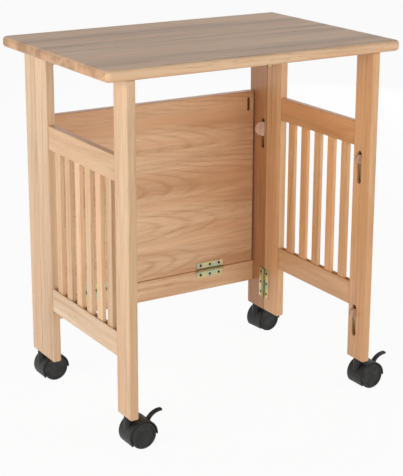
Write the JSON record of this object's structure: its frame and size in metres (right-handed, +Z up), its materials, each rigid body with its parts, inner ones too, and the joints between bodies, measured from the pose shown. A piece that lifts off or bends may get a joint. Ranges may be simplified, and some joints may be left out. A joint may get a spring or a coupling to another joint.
{
  "type": "printer stand",
  "caption": "Folding wooden printer stand on casters: overhanging top, slatted side frames that fold in, and a back panel that drops down to a shelf.",
  "frame": {"origin": "on the floor, in the middle of the stand's box", "axes": "+Z up, +X to the stand's right seen from its open front, +Y to its back panel"},
  "size_m": [0.6276, 0.418, 0.6863],
  "materials": {
    "wood": "satin lacquer",
    "hinge": "yellow zinc plate",
    "catch": "dull spring steel",
    "caster": "moulded black"
  },
  "bodies": {
    "back_frame": {"back_left_stile": "wood", "back_right_stile": "wood", "back_top_rail": "wood", "back_bottom_rail": "wood", "left_lower_hinge_fixed_leaf": "hinge", "left_upper_hinge_fixed_leaf": "hinge", "right_lower_hinge_fixed_leaf": "hinge", "right_upper_hinge_fixed_leaf": "hinge", "shelf_left_hinge_fixed_leaf": "hinge", "shelf_right_hinge_fixed_leaf": "hinge", "top_hinge_fixed_leaf": "hinge"},
    "left_frame": {"left_front_leg": "wood", "left_rear_leg": "wood", "left_upper_rail": "wood", "left_lower_rail": "wood", "left_slat_1": "wood", "left_slat_2": "wood", "left_slat_3": "wood", "left_slat_4": "wood", "left_slat_5": "wood", "left_slat_6": "wood", "left_lower_hinge_moving_leaf": "hinge", "left_upper_hinge_moving_leaf": "hinge"},
    "right_frame": {"right_front_leg": "wood", "right_rear_leg": "wood", "right_upper_rail": "wood", "right_lower_rail": "wood", "right_slat_1": "wood", "right_slat_2": "wood", "right_slat_3": "wood", "right_slat_4": "wood", "right_slat_5": "wood", "right_lower_hinge_moving_leaf": "hinge", "right_upper_hinge_moving_leaf": "hinge"},
    "shelf": {"shelf_panel": "wood", "shelf_left_hinge_moving_leaf": "hinge", "shelf_right_hinge_moving_leaf": "hinge"},
    "top": {"table_top": "wood", "top_hinge_moving_leaf": "hinge"},
    "left_stile_catch": {"left_stile_catch": "catch"},
    "left_upper_leg_catch": {"left_upper_leg_catch": "catch"},
    "left_lower_leg_catch": {"left_lower_leg_catch": "catch"},
    "right_stile_catch": {"right_stile_catch": "catch"},
    "right_upper_leg_catch": {"right_upper_leg_catch": "catch"},
    "right_lower_leg_catch": {"right_lower_leg_catch": "catch"},
    "front_left_caster": {"front_left_caster_hood": "caster"},
    "front_left_wheel_front": {"front_left_caster_wheel_front": "caster"},
    "front_left_wheel_back": {"front_left_caster_wheel_back": "caster"},
    "front_left_brake": {"front_left_caster_brake_pedal": "caster"},
    "front_right_caster": {"front_right_caster_hood": "caster"},
    "front_right_wheel_front": {"front_right_caster_wheel_front": "caster"},
    "front_right_wheel_back": {"front_right_caster_wheel_back": "caster"},
    "front_right_brake": {"front_right_caster_brake_pedal": "caster"},
    "rear_left_caster": {"rear_left_caster_hood": "caster"},
    "rear_left_wheel_front": {"rear_left_caster_wheel_front": "caster"},
    "rear_left_wheel_back": {"rear_left_caster_wheel_back": "caster"},
    "rear_right_caster": {"rear_right_caster_hood": "caster"},
    "rear_right_wheel_front": {"rear_right_caster_wheel_front": "caster"},
    "rear_right_wheel_back": {"rear_right_caster_wheel_back": "caster"}
  },
  "joints": [
    {"name": "left_frame_fold", "type": "hinge", "parent": "back_frame", "child": "left_frame", "pos_m": [-0.25234, 0.15685, 0.06], "axis": [0, 0, 1], "range_deg": [0, 90]},
    {"name": "right_frame_fold", "type": "hinge", "parent": "back_frame", "child": "right_frame", "pos_m": [0.23466, 0.13885, 0.06], "axis": [0, 0, -1], "range_deg": [0, 90]},
    {"name": "shelf_drop", "type": "hinge", "parent": "back_frame", "child": "shelf", "pos_m": [-0.00884, 0.1775, 0.1605], "axis": [-1, 0, 0], "range_deg": [-90, 0]},
    {"name": "top_tilt", "type": "hinge", "parent": "back_frame", "child": "top", "pos_m": [-0.00884, 0.2025, 0.6628], "axis": [-1, 0, 0], "range_deg": [0, 90]},
    {"name": "left_stile_catch_press", "type": "hinge", "parent": "back_frame", "child": "left_stile_catch", "pos_m": [-0.26284, 0.17, 0.4195], "axis": [0, -1, 0], "range_deg": [0, 13.5], "stiffness_Nm_per_rad": 0.6},
    {"name": "left_upper_leg_catch_press", "type": "hinge", "parent": "left_frame", "child": "left_upper_leg_catch", "pos_m": [-0.26284, -0.171, 0.4195], "axis": [0, -1, 0], "range_deg": [0, 13.5], "stiffness_Nm_per_rad": 0.6},
    {"name": "left_lower_leg_catch_press", "type": "hinge", "parent": "left_frame", "child": "left_lower_leg_catch", "pos_m": [-0.26284, -0.171, 0.11266], "axis": [0, -1, 0], "range_deg": [0, 13.5], "stiffness_Nm_per_rad": 0.6},
    {"name": "right_stile_catch_press", "type": "hinge", "parent": "back_frame", "child": "right_stile_catch", "pos_m": [0.24516, 0.152, 0.4195], "axis": [0, 1, 0], "range_deg": [0, 13.5], "stiffness_Nm_per_rad": 0.6},
    {"name": "right_upper_leg_catch_press", "type": "hinge", "parent": "right_frame", "child": "right_upper_leg_catch", "pos_m": [0.24516, -0.171, 0.4195], "axis": [0, 1, 0], "range_deg": [0, 13.5], "stiffness_Nm_per_rad": 0.6},
    {"name": "right_lower_leg_catch_press", "type": "hinge", "parent": "right_frame", "child": "right_lower_leg_catch", "pos_m": [0.24516, -0.171, 0.11266], "axis": [0, 1, 0], "range_deg": [0, 13.5], "stiffness_Nm_per_rad": 0.6},
    {"name": "front_left_caster_swivel", "type": "hinge", "parent": "left_frame", "child": "front_left_caster", "pos_m": [-0.26384, -0.1765, 0.025], "axis": [0, 0, 1], "continuous": true},
    {"name": "front_left_wheel_front_spin", "type": "hinge", "parent": "front_left_caster", "child": "front_left_wheel_front", "pos_m": [-0.24384, -0.1765, 0.025], "axis": [0, 1, 0], "continuous": true},
    {"name": "front_left_wheel_back_spin", "type": "hinge", "parent": "front_left_caster", "child": "front_left_wheel_back", "pos_m": [-0.24384, -0.1765, 0.025], "axis": [0, 1, 0], "continuous": true},
    {"name": "front_left_brake_press", "type": "hinge", "parent": "front_left_caster", "child": "front_left_brake", "pos_m": [-0.22457, -0.1765, 0.04427], "axis": [0, 1, 0], "range_deg": [0, 20]},
    {"name": "front_right_caster_swivel", "type": "hinge", "parent": "right_frame", "child": "front_right_caster", "pos_m": [0.24616, -0.1765, 0.025], "axis": [0, 0, 1], "continuous": true},
    {"name": "front_right_wheel_front_spin", "type": "hinge", "parent": "front_right_caster", "child": "front_right_wheel_front", "pos_m": [0.26616, -0.1765, 0.025], "axis": [0, 1, 0], "continuous": true},
    {"name": "front_right_wheel_back_spin", "type": "hinge", "parent": "front_right_caster", "child": "front_right_wheel_back", "pos_m": [0.26616, -0.1765, 0.025], "axis": [0, 1, 0], "continuous": true},
    {"name": "front_right_brake_press", "type": "hinge", "parent": "front_right_caster", "child": "front_right_brake", "pos_m": [0.28543, -0.1765, 0.04427], "axis": [0, 1, 0], "range_deg": [0, 20]},
    {"name": "rear_left_caster_swivel", "type": "hinge", "parent": "back_frame", "child": "rear_left_caster", "pos_m": [-0.26384, 0.179, 0.025], "axis": [0, 0, 1], "continuous": true},
    {"name": "rear_left_wheel_front_spin", "type": "hinge", "parent": "rear_left_caster", "child": "rear_left_wheel_front", "pos_m": [-0.24384, 0.179, 0.025], "axis": [0, 1, 0], "continuous": true},
    {"name": "rear_left_wheel_back_spin", "type": "hinge", "parent": "rear_left_caster", "child": "rear_left_wheel_back", "pos_m": [-0.24384, 0.179, 0.025], "axis": [0, 1, 0], "continuous": true},
    {"name": "rear_right_caster_swivel", "type": "hinge", "parent": "back_frame", "child": "rear_right_caster", "pos_m": [0.24616, 0.179, 0.025], "axis": [0, 0, 1], "continuous": true},
    {"name": "rear_right_wheel_front_spin", "type": "hinge", "parent": "rear_right_caster", "child": "rear_right_wheel_front", "pos_m": [0.26609, 0.18074, 0.025], "axis": [-0.0872, 0.9962, 0], "continuous": true},
    {"name": "rear_right_wheel_back_spin", "type": "hinge", "parent": "rear_right_caster", "child": "rear_right_wheel_back", "pos_m": [0.26609, 0.18074, 0.025], "axis": [-0.0872, 0.9962, 0], "continuous": true}
  ]
}
